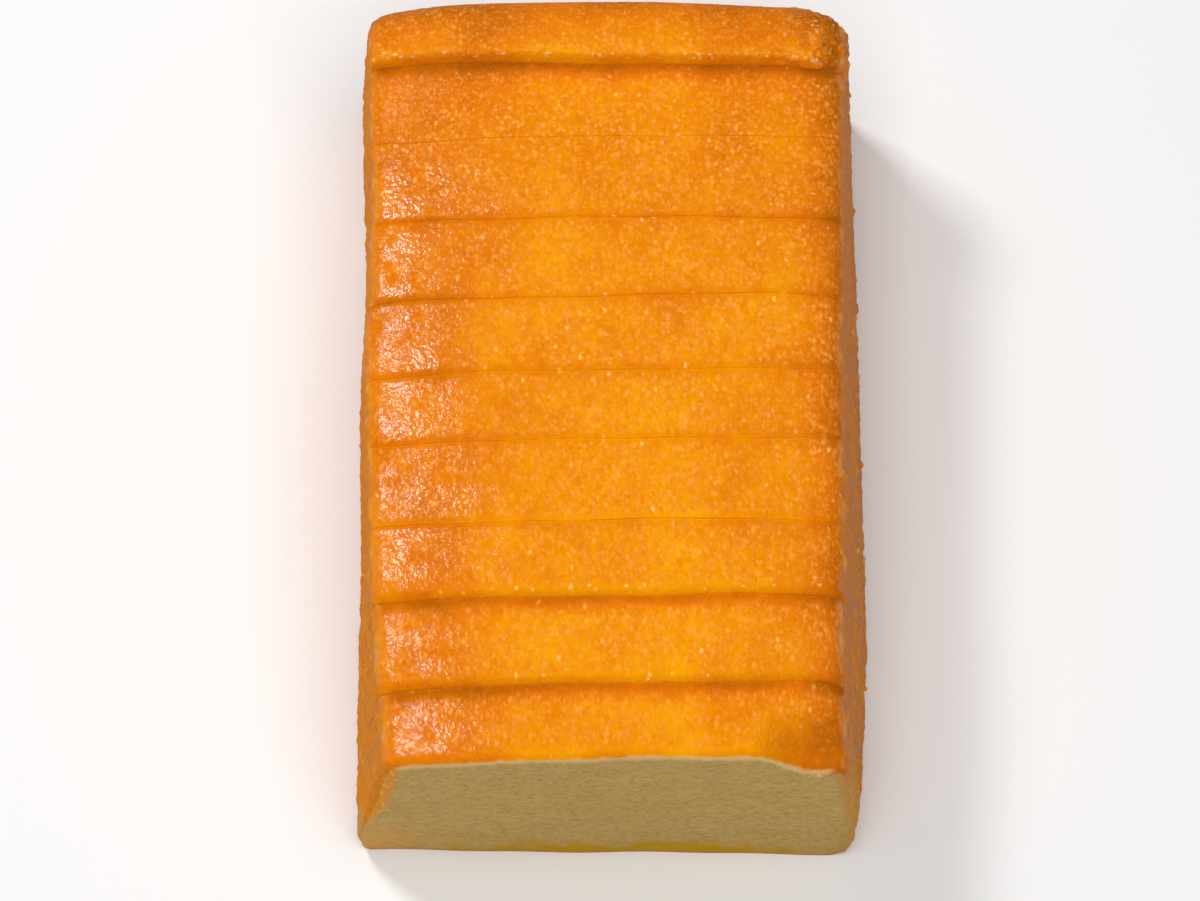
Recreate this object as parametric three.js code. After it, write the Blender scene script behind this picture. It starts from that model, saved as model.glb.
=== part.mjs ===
// A loaf of butter cake, cut across into slices that stay together in the shape of the loaf.
// Millimetres, +Z up. X runs across the loaf and Y along it, from the cut front to the baked heel.
// Each slice is one closed solid: sections of the loaf, stacked along Y and closed by two end faces.
import * as THREE from 'three';

// Driving dimensions of the loaf
const KNIFE_GAP = 0.3;         // left by the blade between two slices
const TOE_ROUND = 3.5;         // rounding where a wall meets the flat underside
const LEFT_SHOULDER = 3;       // how far the rounded shoulders reach down the wall and over the top
const RIGHT_SHOULDER = 5;
const LEFT_DROP = 3.5;         // how far the crown has fallen where it meets each wall
const RIGHT_DROP = 2.6;
const CROWN_POWER = 3.5;       // the crown is flat in the middle and falls near the shoulders
const WALL_BULGE = 0.3;        // outward swell of the walls at half height
const SWELL = 0.35;            // soft unevenness of the baked top
const SWELL_LENGTH = 41;       // distance from one soft swell to the next

// The lower corners are rounded further at the front cut, and even out along the front slice
const FRONT_TOES = { left: { wide: 3.5, high: 12 }, right: { wide: 8, high: 24 } };

// The knife bends the crust down at the front of each slice and leaves a sharper edge behind it
const FRONT_EDGE = { top: 1.9, side: 0.9, steps: 3 };
const BACK_EDGE = { top: 0.8, side: 0.5, steps: 2 };
const HEEL_END = { top: 8.5, side: 7.5, steps: 5 };
const HEEL_BOW = 2.6;          // the end of the loaf curves forward towards its two corners
const HEEL_LEAN = 3.2;         // and its end wall leans in towards the top
const HEEL_TURN = -0.6;        // degrees, as the turns of the cuts below

// The front cut leans forward at its top, and is turned the other way at its foot
const FRONT_LEAN = 0.8;
const FRONT_FOOT_TURN = -0.8;  // degrees

// The front slice has a torn corner, where the crust sank before its right shoulder and a little
// less at the shoulder itself
const TORN = { from: 30, to: 44, out: 52, less: 0.4, deep: 9, back: 12 };

// Slices from the front to the heel: thickness, height at the front and back edge, sideways shift,
// width at the foot, how far the left and right walls lean in, and how far the knife had turned at
// the top of the cut in front, in degrees
const SLICES = [
  { thick: 16.0, front: 60.8, back: 60.0, shift: -0.4, foot: 110.6, left: 7.0, right: 4.8, turn: 1.2 },
  { thick: 19.6, front: 62.4, back: 61.4, shift: 0.1, foot: 111.2, left: 5.2, right: 6.2, turn: 0.9 },
  { thick: 17.3, front: 63.6, back: 62.8, shift: 0.7, foot: 112.0, left: 3.8, right: 6.3, turn: 0.8 },
  { thick: 19.0, front: 63.3, back: 62.7, shift: 0.8, foot: 111.2, left: 3.0, right: 5.8, turn: 0.6 },
  { thick: 16.1, front: 63.0, back: 62.4, shift: 0.7, foot: 111.0, left: 2.3, right: 5.6, turn: 0.7 },
  { thick: 17.6, front: 62.8, back: 62.2, shift: 0.3, foot: 111.0, left: 2.4, right: 5.6, turn: 0.9 },
  { thick: 18.7, front: 62.6, back: 61.9, shift: 0.7, foot: 110.0, left: 2.4, right: 4.9, turn: 0.9 },
  { thick: 19.4, front: 62.2, back: 61.6, shift: 0.7, foot: 109.4, left: 2.4, right: 4.2, turn: 0.4 },
  { thick: 17.3, front: 61.6, back: 60.8, shift: 0.2, foot: 109.4, left: 2.4, right: 3.7, turn: 0.4 },
  { thick: 19.8, front: 65.0, back: 63.8, shift: -0.2, foot: 109.6, left: 2.5, right: 2.7, turn: -0.6 },
];

// How finely the surface is cut into flat faces
const TOP_STEPS = 18;
const WALL_STEPS = 4;
const ROUND_STEPS = 5;
const FLOOR_STEPS = 4;
const BODY_RINGS = 3;          // sections between the two edges of a slice
const HEEL_RINGS = 4;          // steps from the edge of the heel's end wall to its middle

const CRUST_COLOUR = 0xee8f22;
const CRUST_ROUGHNESS = 0.45;

const { clamp, degToRad, smoothstep } = THREE.MathUtils;
const mix = (a, b, t) => a + (b - a) * t;
const point = (x, z) => new THREE.Vector2(x, z);

// A rounded corner, as a curve that is tangent to both its sides
function rounded(from, corner, to) {
  return new THREE.QuadraticBezierCurve(from, corner, to).getPoints(ROUND_STEPS);
}

function between(from, to, steps) {
  return Array.from({ length: steps - 1 }, (_, k) => from.clone().lerp(to, (k + 1) / steps));
}

// Height of the baked top at x, where side is -1 on the left half and 1 on the right half
function crown(slice, x, height, side) {
  const drop = side < 0 ? LEFT_DROP : RIGHT_DROP;
  const reach = slice.foot / 2 - (side < 0 ? slice.left : slice.right);
  return height - drop * (Math.abs(x - slice.shift) / reach) ** CROWN_POWER;
}

// How far the rounding of a lower corner reaches under the loaf and up the wall. The share is 1 at
// the front cut, where it is largest, and 0 behind the front slice
function toeReach(side, share) {
  const front = side < 0 ? FRONT_TOES.left : FRONT_TOES.right;
  return { wide: mix(TOE_ROUND, front.wide, share), high: mix(TOE_ROUND, front.high, share) };
}

// One wall with its toe and shoulder, from the underside up
function wall(slice, side, height, frontShare) {
  const foot = slice.shift + side * slice.foot / 2;
  const lean = side < 0 ? slice.left : slice.right;
  const arm = side < 0 ? LEFT_SHOULDER : RIGHT_SHOULDER;
  const top = height - (side < 0 ? LEFT_DROP : RIGHT_DROP);
  const at = (z) => {
    const bulge = WALL_BULGE * Math.sin(Math.PI * clamp(z / top, 0, 1));
    return point(foot - side * (lean * z / top - bulge), z);
  };
  const corner = at(top);
  const inner = corner.x - side * arm;
  const { wide, high } = toeReach(side, frontShare);
  const toe = rounded(point(foot - side * wide, 0), point(foot, 0), at(high));
  const rise = between(at(high), at(top - arm), WALL_STEPS).map(({ y: z }) => at(z));
  const shoulder = rounded(at(top - arm), corner, point(inner, crown(slice, inner, height, side)));
  return [...toe, ...rise, ...shoulder];
}

// Whole section of a slice, anticlockwise as seen from the front, for one height of its crown
function section(slice, height, frontShare) {
  const left = wall(slice, -1, height, frontShare);
  const right = wall(slice, 1, height, frontShare);
  const top = between(right.at(-1), left.at(-1), TOP_STEPS)
    .map(({ x }) => point(x, crown(slice, x, height, x < slice.shift ? -1 : 1)));
  return [...between(left[0], right[0], FLOOR_STEPS), ...right, ...top, ...left.reverse()];
}

// Rings of a slice: where each one lies between the two cuts, and how far an edge has shrunk it
function ringPlan(length, front, back) {
  const turnIn = (edge, k) => {
    const angle = (k / edge.steps) * Math.PI / 2;
    return { depth: edge.top * (1 - Math.cos(angle)), edge, inset: 1 - Math.sin(angle) };
  };
  const rings = [];
  for (let k = 0; k <= front.steps; k += 1) {
    const { depth, edge, inset } = turnIn(front, k);
    rings.push({ y: depth, edge, inset });
  }
  for (let k = 1; k <= BODY_RINGS; k += 1) {
    rings.push({ y: mix(front.top, length - back.top, k / (BODY_RINGS + 1)), edge: front, inset: 0 });
  }
  for (let k = back.steps; k >= 0; k -= 1) {
    const { depth, edge, inset } = turnIn(back, k);
    rings.push({ y: length - depth, edge, inset });
  }
  return rings;
}

// Soft swells of the baked top, fading out down the walls
function swell(x, y, z, height) {
  const fade = smoothstep(z, height * 0.8, height * 0.95);
  const [u, v] = [x, y].map((value) => value / SWELL_LENGTH * Math.PI * 2);
  return SWELL * fade * (Math.sin(u + v / 2) + Math.sin(v - u / 3)) / 2;
}

// How far the torn corner has sunk, at a distance behind the front cut
function sunk(x, behind, z, height) {
  const across = smoothstep(x, TORN.from, TORN.to) * (1 - TORN.less * smoothstep(x, TORN.to, TORN.out));
  const along = 1 - smoothstep(behind, 0, TORN.back);
  return TORN.deep * across * along * smoothstep(z, height * 0.6, height * 0.95);
}

function sliceGeometry(slice, backTurn, start, isFront, isHeel) {
  const length = slice.thick - (isHeel ? 0 : KNIFE_GAP);
  const frontShare = (y) => (isFront ? 1 - y / length : 0);

  // Where a point of the straight section ends up in the finished slice
  const place = (x, y, z) => {
    const along = y / length;
    const height = mix(slice.front, slice.back, along);
    const turn = Math.tan(degToRad(mix(slice.turn, backTurn, along)));
    const bow = isHeel ? along * HEEL_BOW * Math.abs(2 * x / slice.foot) ** 3 : 0;
    const up = z / height;
    const lean = isHeel ? along * HEEL_LEAN * up : frontShare(y) * FRONT_LEAN * up;
    const footTurn = frontShare(y) * Math.tan(degToRad(FRONT_FOOT_TURN));
    const torn = isFront ? sunk(x, y, z, height) : 0;
    return [
      x,
      start + y + x * mix(footTurn, turn, up) - bow - lean,
      z + swell(x, start + y, z, height) - torn,
    ];
  };

  const rings = ringPlan(length, FRONT_EDGE, isHeel ? HEEL_END : BACK_EDGE).map(({ y, edge, inset }) => {
    const height = mix(slice.front, slice.back, y / length);
    const narrow = 1 - 2 * edge.side * inset / slice.foot;
    const lower = 1 - edge.top * inset / height;
    return section(slice, height, frontShare(y)).map(({ x, y: z }) =>
      [slice.shift + (x - slice.shift) * narrow, y, z * lower]);
  });

  // The end wall of the heel is cut finely, because it is bowed
  const last = rings.at(-1);
  const middle = slice.back / 2;
  for (let k = 1; isHeel && k < HEEL_RINGS; k += 1) {
    const shrink = 1 - k / HEEL_RINGS;
    rings.push(last.map(([x, y, z]) => [mix(slice.shift, x, shrink), y, mix(middle, z, shrink)]));
  }
  const ends = [[slice.shift, 0, middle], [slice.shift, length, middle]];
  return closedBody(rings.map((ring) => ring.map((p) => place(...p))), ends.map((p) => place(...p)));
}

// Joins rings of equal length into a closed body, with a fan of faces at each end
function closedBody(rings, ends) {
  const size = rings[0].length;
  const frontCentre = rings.length * size;
  const index = [];
  for (let k = 0; k < size; k += 1) {
    const next = (k + 1) % size;
    for (let ring = 0; ring < rings.length - 1; ring += 1) {
      const [a, b] = [ring * size + k, ring * size + next];
      index.push(a, b + size, b, a, a + size, b + size);
    }
    const back = (rings.length - 1) * size;
    index.push(frontCentre, k, next, frontCentre + 1, back + next, back + k);
  }
  const geometry = new THREE.BufferGeometry();
  const positions = [...rings.flat(), ...ends].flat();
  geometry.setAttribute('position', new THREE.Float32BufferAttribute(positions, 3));
  geometry.setIndex(index);
  geometry.computeVertexNormals();
  return geometry;
}

const loaf = new THREE.Group();
let start = 0;
SLICES.forEach((slice, k) => {
  const behind = SLICES[k + 1];
  const backTurn = behind ? behind.turn : HEEL_TURN;
  const material = new THREE.MeshStandardMaterial({
    color: CRUST_COLOUR,
    roughness: CRUST_ROUGHNESS,
    metalness: 0,
  });
  const mesh = new THREE.Mesh(sliceGeometry(slice, backTurn, start, k === 0, !behind), material);
  mesh.name = `slice_${String(k + 1).padStart(2, '0')}`;
  loaf.add(mesh);
  start += slice.thick;
});

// The origin is in the middle of the underside
const box = new THREE.Box3().setFromObject(loaf);
const middle = box.getCenter(new THREE.Vector3());
loaf.position.set(-middle.x, -middle.y, -box.min.z);

export default loaf;
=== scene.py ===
import math

import bmesh
import bpy
import numpy as np
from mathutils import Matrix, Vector


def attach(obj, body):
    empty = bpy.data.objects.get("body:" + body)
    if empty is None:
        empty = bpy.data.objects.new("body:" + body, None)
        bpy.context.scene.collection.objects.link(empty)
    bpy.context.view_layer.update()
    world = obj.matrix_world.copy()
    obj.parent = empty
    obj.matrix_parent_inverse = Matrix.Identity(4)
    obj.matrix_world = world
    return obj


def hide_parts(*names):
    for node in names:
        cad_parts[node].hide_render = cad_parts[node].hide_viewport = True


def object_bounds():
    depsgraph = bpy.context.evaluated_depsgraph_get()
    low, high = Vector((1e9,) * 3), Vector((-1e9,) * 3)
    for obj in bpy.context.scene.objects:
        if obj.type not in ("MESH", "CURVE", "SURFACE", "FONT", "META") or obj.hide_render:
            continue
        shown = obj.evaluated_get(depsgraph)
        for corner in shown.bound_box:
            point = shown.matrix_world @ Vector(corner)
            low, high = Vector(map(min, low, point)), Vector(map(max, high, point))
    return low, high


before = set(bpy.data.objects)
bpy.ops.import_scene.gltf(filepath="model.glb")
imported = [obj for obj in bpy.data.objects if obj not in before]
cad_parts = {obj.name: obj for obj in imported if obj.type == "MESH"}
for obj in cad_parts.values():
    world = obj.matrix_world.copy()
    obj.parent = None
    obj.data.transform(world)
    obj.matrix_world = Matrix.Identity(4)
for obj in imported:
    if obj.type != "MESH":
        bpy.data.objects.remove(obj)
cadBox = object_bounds()
mm = 0.001

# How finely the slices are cut into faces: millimetres between points, and the depths of the inner rings
grid = {
    "top": 0.4,
    "wall": 0.42,
    "floor": 1.8,
    "along": 0.38,
    "innerRings": (0.4, 0.9, 1.6, 2.6, 4.2, 8, 14, 22),
    "quickCoarser": 2.2,
    "bendSteps": 24,
    "wallSteps": 40,
    "crownSteps": 161,
}
fine = 1.0

# The loaf, with the same driving dimensions as the model, in millimetres and degrees
loaf = {
    "seamGap": 0.015,  # the crust all but closes the cuts
    "closedSeam": 8,  # the cut in front of this slice can hardly be seen
    "closedGap": 0.01,
    "closedGroove": 0.03,
    "toeRound": 3.5,
    "frontToes": {"left": (3.5, 12.0), "right": (8.0, 24.0)},  # rounder at the front cut: width, height
    "frontLean": 0.8,  # the front cut leans forward at its top
    "frontFootTurn": -0.8,  # and is turned the other way at its foot
    "leftShoulder": 3.0,
    "rightShoulder": 5.0,
    "leftDrop": 3.5,  # how far the crown falls towards each wall
    "rightDrop": 2.6,
    "crownPower": 3.5,
    "wallBulge": 0.3,
    "swell": 0.35,
    "swellLength": 41.0,
    "swellFade": (0.8, 0.95),  # shares of the height
    "frontEdge": {"deep": 1.8, "top": 1.2, "side": 0.4, "steps": 7, "round": False},
    "lip": {"deep": 2.1, "side": 0.1, "steps": 8, "round": False},
    "lipDip": 0.02,  # the lip ends a little below the crust in front of it
    "backEdge": {"deep": 2.0, "side": 0.1, "steps": 8, "round": False},
    "seamRise": {"share": 0.46, "groove": 0.22, "most": 1.2},  # the crust in front bends up to the lip
    "heelEnd": {"deep": 8.5, "top": 8.5, "side": 7.5, "steps": 24, "round": True},
    "heelBow": 2.6,
    "heelLean": 3.2,
    "heelTurn": -0.6,
    # both walls fold round onto the cut front, above these heights
    "wrap": {"left": 1.1, "right": 0.6, "across": (25, 50), "high": (14.0, 34.0)},
    # the front slice has sunk towards its right corner, and a little less at the shoulder itself
    "torn": {"across": (30, 44), "out": 52, "less": 0.4, "deep": 9.0, "back": 12, "high": (0.6, 0.95)},
    # the knife wandered in a long and a short wave: length, depth and turn from cut to cut
    "knife": {"long": (9.5, 0.16, 1.7), "short": (4.1, 0.1, 4.1), "upright": 40},
}

# Slices from the front to the heel
sliceNames = ("thick", "front", "back", "shift", "foot", "left", "right", "turn")
slices = [dict(zip(sliceNames, row)) for row in (
    (16.0, 60.8, 60.0, -0.4, 110.6, 7.0, 4.8, 1.2),
    (19.6, 62.4, 61.4, 0.1, 111.2, 5.2, 6.2, 0.9),
    (17.3, 63.6, 62.8, 0.7, 112.0, 3.8, 6.3, 0.8),
    (19.0, 63.3, 62.7, 0.8, 111.2, 3.0, 5.8, 0.6),
    (16.1, 63.0, 62.4, 0.7, 111.0, 2.3, 5.6, 0.7),
    (17.6, 62.8, 62.2, 0.3, 111.0, 2.4, 5.6, 0.9),
    (18.7, 62.6, 61.9, 0.7, 110.0, 2.4, 4.9, 0.9),
    (19.4, 62.2, 61.6, 0.7, 109.4, 2.4, 4.2, 0.4),
    (17.3, 61.6, 60.8, 0.2, 109.4, 2.4, 3.7, 0.4),
    (19.8, 65.0, 63.8, -0.2, 109.6, 2.5, 2.7, -0.6),
)]
heelNumber = len(slices) - 1


# Small tools for shapes

def mix(a, b, t):
    return a + (b - a) * t


def rise(x, low, high):
    # 0 up to low, 1 from high on, smoothly
    t = np.clip((x - low) / (high - low), 0, 1)
    return t * t * (3 - 2 * t)


def fall(x, low, high):
    # 1 up to low, 0 from high on, smoothly
    return 1 - rise(x, low, high)


def grow(x, amount, low, high):
    # nothing up to low, the whole amount from high on
    return amount * rise(x, low, high)


def ridge(x, middle, width):
    # 1 in the middle, falling away on both sides
    return np.exp(-((x - middle) / width) ** 2)


def latticeValue(cell, seed):
    # a fixed random number, 0 to 1, for each whole-numbered cell
    h = cell[..., 0] * 73856093 ^ cell[..., 1] * 19349663 ^ cell[..., 2] * 83492791 ^ (seed * 2654435761)
    h = h & 0xFFFFFFFF
    h = ((h ^ (h >> 15)) * 2246822519) & 0xFFFFFFFF
    h = ((h ^ (h >> 13)) * 3266489917) & 0xFFFFFFFF
    return ((h ^ (h >> 16)) & 0xFFFFFF) / float(0xFFFFFF)


def softNoise(points, size, seed):
    # smooth noise, -1 to 1, with blobs of about that size
    p = points / size
    base = np.floor(p).astype(np.int64)
    t = p - base
    t = t * t * t * (t * (t * 6 - 15) + 10)
    total = 0.0
    for corner in np.ndindex(2, 2, 2):
        weight = np.ones(len(points))
        for axis in range(3):
            weight = weight * (t[:, axis] if corner[axis] else 1 - t[:, axis])
        total = total + weight * latticeValue(base + np.array(corner), seed)
    return total * 2 - 1


def layeredNoise(points, size, seed, layers=3, keep=0.55, apart=17.3, gain=1.6):
    total, weight, full = 0.0, 1.0, 0.0
    for layer in range(layers):
        total = total + weight * softNoise(points + apart * layer, size / 2 ** layer, seed + layer)
        full += weight
        weight *= keep
    return total / full * gain


def pebbles(points, size, seed, jitter=0.9, reach=0.9):
    # 1 in the middle of each pebble, 0 in the hollows between them
    p = points / size
    base = np.floor(p).astype(np.int64)
    nearest = np.full(len(points), 9.0)
    for step in np.ndindex(3, 3, 3):
        cell = base + np.array(step) - 1
        spot = np.stack([latticeValue(cell, seed + axis) for axis in range(3)], -1)
        centre = cell + 0.5 + (spot - 0.5) * jitter
        nearest = np.minimum(nearest, ((p - centre) ** 2).sum(-1))
    return np.clip(1 - np.sqrt(nearest) / reach, 0, 1)


def bezier(a, b, c):
    t = np.linspace(0, 1, grid["bendSteps"] + 1)[:, None]
    return (1 - t) ** 2 * np.array(a) + 2 * t * (1 - t) * np.array(b) + t * t * np.array(c)


def evenly(line, count):
    # count points at equal distances along a line, without its last point
    length = np.concatenate([[0], np.cumsum(np.linalg.norm(np.diff(line, axis=0), axis=1))])
    at = np.linspace(0, length[-1], count + 1)[:-1]
    return np.stack([np.interp(at, length, line[:, axis]) for axis in range(2)], -1)


# The section of the loaf

def sideName(side):
    return "left" if side < 0 else "right"


def crown(piece, x, height):
    left = x < piece["shift"]
    drop = np.where(left, loaf["leftDrop"], loaf["rightDrop"])
    reach = piece["foot"] / 2 - np.where(left, piece["left"], piece["right"])
    return height - drop * (np.abs(x - piece["shift"]) / reach) ** loaf["crownPower"]


def wallPoint(piece, side, height, z):
    top = height - loaf[sideName(side) + "Drop"]
    bulge = loaf["wallBulge"] * np.sin(np.pi * np.clip(z / top, 0, 1))
    return piece["shift"] + side * (piece["foot"] / 2 - piece[sideName(side)] * z / top + bulge)


def wallLine(piece, side, height):
    # toe, wall and shoulder, from the underside up, and where the middles of both bends lie in it
    name = sideName(side)
    arm = loaf[name + "Shoulder"]
    wide, toe = (mix(loaf["toeRound"], reach, piece["frontShare"]) for reach in loaf["frontToes"][name])
    top = height - loaf[name + "Drop"]

    def at(z):
        return float(wallPoint(piece, side, height, z)), z

    foot = piece["shift"] + side * piece["foot"] / 2
    corner = at(top)
    inner = corner[0] - side * arm
    low = bezier((foot - side * wide, 0), (foot, 0), at(toe))
    upright = np.array([at(z) for z in np.linspace(toe, top - arm, grid["wallSteps"])])
    high = bezier(at(top - arm), corner, (inner, float(crown(piece, np.array(inner), height))))
    line = np.concatenate([low, upright[1:-1], high])
    return line, len(low) // 2, len(line) - len(high) // 2 - 1


def sectionLoop(piece, height, counts):
    # the whole section, anticlockwise as seen from the front, from the middle of the left toe
    left, leftToe, leftArm = wallLine(piece, -1, height)
    right, rightToe, rightArm = wallLine(piece, 1, height)
    x = np.linspace(right[-1, 0], left[-1, 0], grid["crownSteps"])[1:-1]
    top = np.stack([x, crown(piece, x, height)], -1)
    floorSide = np.concatenate([left[:leftToe + 1][::-1], right[:rightToe + 1]])
    topSide = np.concatenate([right[rightArm:], top, left[leftArm:][::-1]])
    sides = (floorSide, right[rightToe:rightArm + 1], topSide, left[leftToe:leftArm + 1][::-1])
    return np.concatenate([evenly(side, count) for side, count in zip(sides, counts)])


# One slice

def wallsAt(k, along):
    # width, place and lean of the walls, which run on nearly smoothly from slice to slice
    piece = dict(slices[k])
    other = slices[min(max(k + (1 if along > 0.5 else -1), 0), heelNumber)]
    for name in ("foot", "shift", "left", "right"):
        piece[name] = mix(piece[name], other[name], abs(along - 0.5))
    piece["frontShare"] = 1 - along if k == 0 else 0
    return piece


def seamStep(k):
    # how far slice k stands above the slice in front of it, and how far the crust there bends up to it
    step = slices[k]["front"] - slices[k - 1]["back"]
    look = loaf["seamRise"]
    groove = loaf["closedGroove"] if k == loaf["closedSeam"] else look["groove"]
    return step, min(step * look["share"] - groove, look["most"])


def edgesOf(k):
    # the lip in front bends down until it meets the crust of the next slice, which bends up to it a little
    front, back = loaf["frontEdge"], loaf["heelEnd"]
    if k > 0:
        step, lift = seamStep(k)
        front = {**loaf["lip"], "top": step - lift + (0 if k == loaf["closedSeam"] else loaf["lipDip"])}
    if k < heelNumber:
        back = {**loaf["backEdge"], "top": -seamStep(k + 1)[1]}
    return front, back


def bend(edge):
    # distances from the cut, and the share of the bend that is reached there
    s = np.linspace(0, 1, edge["steps"] + 1)
    if edge["round"]:
        return edge["deep"] * (1 - np.cos(s * np.pi / 2)), 1 - np.sin(s * np.pi / 2)
    return edge["deep"] * s, (1 - s) ** 2


def ringPlan(length, front, back):
    # place between the two cuts, and how far each edge has shrunk the section there
    rings = [(y, front, inset) for y, inset in zip(*bend(front))]
    body = int((length - front["deep"] - back["deep"]) / (grid["along"] * fine))
    for k in range(1, body + 1):
        rings.append((mix(front["deep"], length - back["deep"], k / (body + 1)), front, 0))
    rings += [(length - y, back, inset) for y, inset in zip(*bend(back))][::-1]
    return rings


def swellAt(x, y, z, height):
    # low waves in the crust
    u, v = x / loaf["swellLength"] * 2 * np.pi, y / loaf["swellLength"] * 2 * np.pi
    low, high = loaf["swellFade"]
    fade = rise(z, height * low, height * high)
    return loaf["swell"] * fade * (np.sin(u + v / 2) + np.sin(v - u / 3)) / 2


def sunkAt(x, behind, z, height):
    torn = loaf["torn"]
    across = rise(x, *torn["across"]) * (1 - torn["less"] * rise(x, torn["across"][1], torn["out"]))
    upward = rise(z, height * torn["high"][0], height * torn["high"][1])
    return torn["deep"] * across * fall(behind, 0, torn["back"]) * upward


def cutWave(number, x, z):
    # both slices beside a cut follow the knife
    knife = loaf["knife"]
    length, deep, turn = knife["long"]
    wave = deep * np.sin(x / length + turn * number + z / knife["upright"])
    length, deep, turn = knife["short"]
    return wave + deep * np.sin(x / length + turn * number)


def placed(k, points, start, length):
    # where points of the straight section end up in the finished slice
    piece = slices[k]
    heel = k == heelNumber
    x, y, z = points[..., 0], points[..., 1], points[..., 2]
    along = y / length
    height = mix(piece["front"], piece["back"], along)
    backTurn = loaf["heelTurn"] if heel else slices[k + 1]["turn"]
    turn = np.tan(np.radians(mix(piece["turn"], backTurn, along)))
    bow = along * loaf["heelBow"] * np.abs(2 * x / piece["foot"]) ** 3 if heel else 0
    up = z / height
    frontShare = 1 - along if k == 0 else 0
    lean = along * loaf["heelLean"] * up if heel else frontShare * loaf["frontLean"] * up
    footTurn = frontShare * math.tan(math.radians(loaf["frontFootTurn"]))
    wave = mix(cutWave(k, x, z), 0 if heel else cutWave(k + 1, x, z), along)
    across = start + y + x * mix(footTurn, turn, up) - bow - lean + wave
    torn = sunkAt(x, y, z, height) if k == 0 else 0
    return np.stack([x, across, z + swellAt(x, start + y, z, height) - torn], -1)


def patch(edge, counts):
    # fills a loop of four sides with a grid. Its rows number the loop's points first, then the new ones
    n, m = counts[0], counts[1]
    size = len(edge)
    s, t = np.linspace(0, 1, n + 1)[None, :, None], np.linspace(0, 1, m + 1)[:, None, None]
    loop = np.concatenate([edge, edge[:1]])
    low, right = loop[:n + 1][None], loop[n:n + m + 1][:, None]
    top, left = loop[n + m:2 * n + m + 1][::-1][None], loop[2 * n + m:][::-1][:, None]
    grown = (1 - t) * low + t * top + (1 - s) * left + s * right
    corners = (1 - s) * (1 - t) * low[:, :1] + s * (1 - t) * low[:, -1:]
    corners = corners + (1 - s) * t * top[:, :1] + s * t * top[:, -1:]
    points = (grown - corners)[1:-1, 1:-1].reshape(-1, edge.shape[-1])
    rows = np.zeros((m + 1, n + 1), int)
    rows[0], rows[-1] = np.arange(n + 1), 2 * n + m - np.arange(n + 1)
    rows[:, -1], rows[:, 0] = n + np.arange(m + 1), (2 * n + 2 * m - np.arange(m + 1)) % size
    rows[1:-1, 1:-1] = size + np.arange(len(points)).reshape(m - 1, n - 1)
    return points, rows


def quads(rows):
    a, b, c, d = rows[:-1, :-1], rows[:-1, 1:], rows[1:, 1:], rows[1:, :-1]
    return np.stack([a, b, c, d], -1).reshape(-1, 4)


def wrapAt(x, z):
    # how far the front of each wall is drawn in, outwards being the sign of x
    wrap = loaf["wrap"]
    side = np.where(x < 0, -wrap["left"], wrap["right"])
    return side * rise(np.abs(x), *wrap["across"]) * rise(z, *wrap["high"])


def sliceShell(k):
    # points of the straight section, faces, and which faces belong to the front cut (1) or the back (2)
    piece = slices[k]
    first, heel = k == 0, k == heelNumber
    gap = loaf["closedGap"] if k + 1 == loaf["closedSeam"] else loaf["seamGap"]
    length = piece["thick"] - (0 if heel else gap)
    across = int(piece["foot"] / (grid["top"] * fine))
    up = int(piece["front"] / (grid["wall"] * fine))
    under = across if first or heel else int(piece["foot"] / (grid["floor"] * fine))
    counts = (under, up, across, up)
    rings = []
    for y, edge, inset in ringPlan(length, *edgesOf(k)):
        height = mix(piece["front"], piece["back"], y / length)
        piece = wallsAt(k, y / length)
        loop = sectionLoop(piece, height, counts)
        narrow = 1 - 2 * edge["side"] * inset / piece["foot"]
        lower = 1 - edge["top"] * inset / height
        x = piece["shift"] + (loop[:, 0] - piece["shift"]) * narrow
        if first and y < length / 2:
            x -= inset * wrapAt(loop[:, 0], loop[:, 1])
        rings.append(np.stack([x, np.full(len(x), y), loop[:, 1] * lower], -1))
    size, last = len(rings[0]), len(rings) - 1
    points = [np.concatenate(rings)]
    around = np.arange(size + 1) % size
    skin = quads(np.arange(last + 1)[:, None] * size + around[None])[:, [0, 3, 2, 1]]
    faces, cut = [skin], [np.zeros(len(skin), int)]
    total = len(points[0])

    for back in (False, True):
        edge = rings[-1] if back else rings[0]
        offset = last * size if back else 0
        flatEnd = not (heel if back else first)
        if flatEnd:
            middle = np.array([piece["shift"], edge[0, 1], piece["back" if back else "front"] / 2])
            depth = [d * 2 / piece["front"] for d in grid["innerRings"]]
            inside = np.concatenate([mix(edge, middle, d) for d in depth] + [middle[None]])
            rows = np.arange(len(depth) + 1)[:, None] * size + around[None]
        else:
            inside, rows = patch(edge, counts)
        rows = np.where(rows < size, rows + offset, rows - size + total)
        made = quads(rows)
        if flatEnd:
            centre = np.full(size, total + len(inside) - 1)
            fan = np.stack([rows[-1][:-1], rows[-1][1:], centre, centre], -1)
            made = np.concatenate([made, fan])
        points.append(inside)
        faces.append(made[:, [3, 2, 1, 0]] if back else made)
        cut.append(np.full(len(made), 2 if back else 1))
        total += len(inside)
    return np.concatenate(points), np.concatenate(faces), np.concatenate(cut), length


def pointNormals(points, faces):
    a, b, c, d = (points[faces[:, j]] for j in range(4))
    face = np.cross(c - a, d - b)
    normals = np.zeros_like(points)
    for j in range(4):
        np.add.at(normals, faces[:, j], face)
    return normals / np.maximum(np.linalg.norm(normals, axis=1, keepdims=True), 1e-12)


def addToScene(name, data):
    thing = bpy.data.objects.new(name, data)
    bpy.context.scene.collection.objects.link(thing)
    return thing


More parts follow.
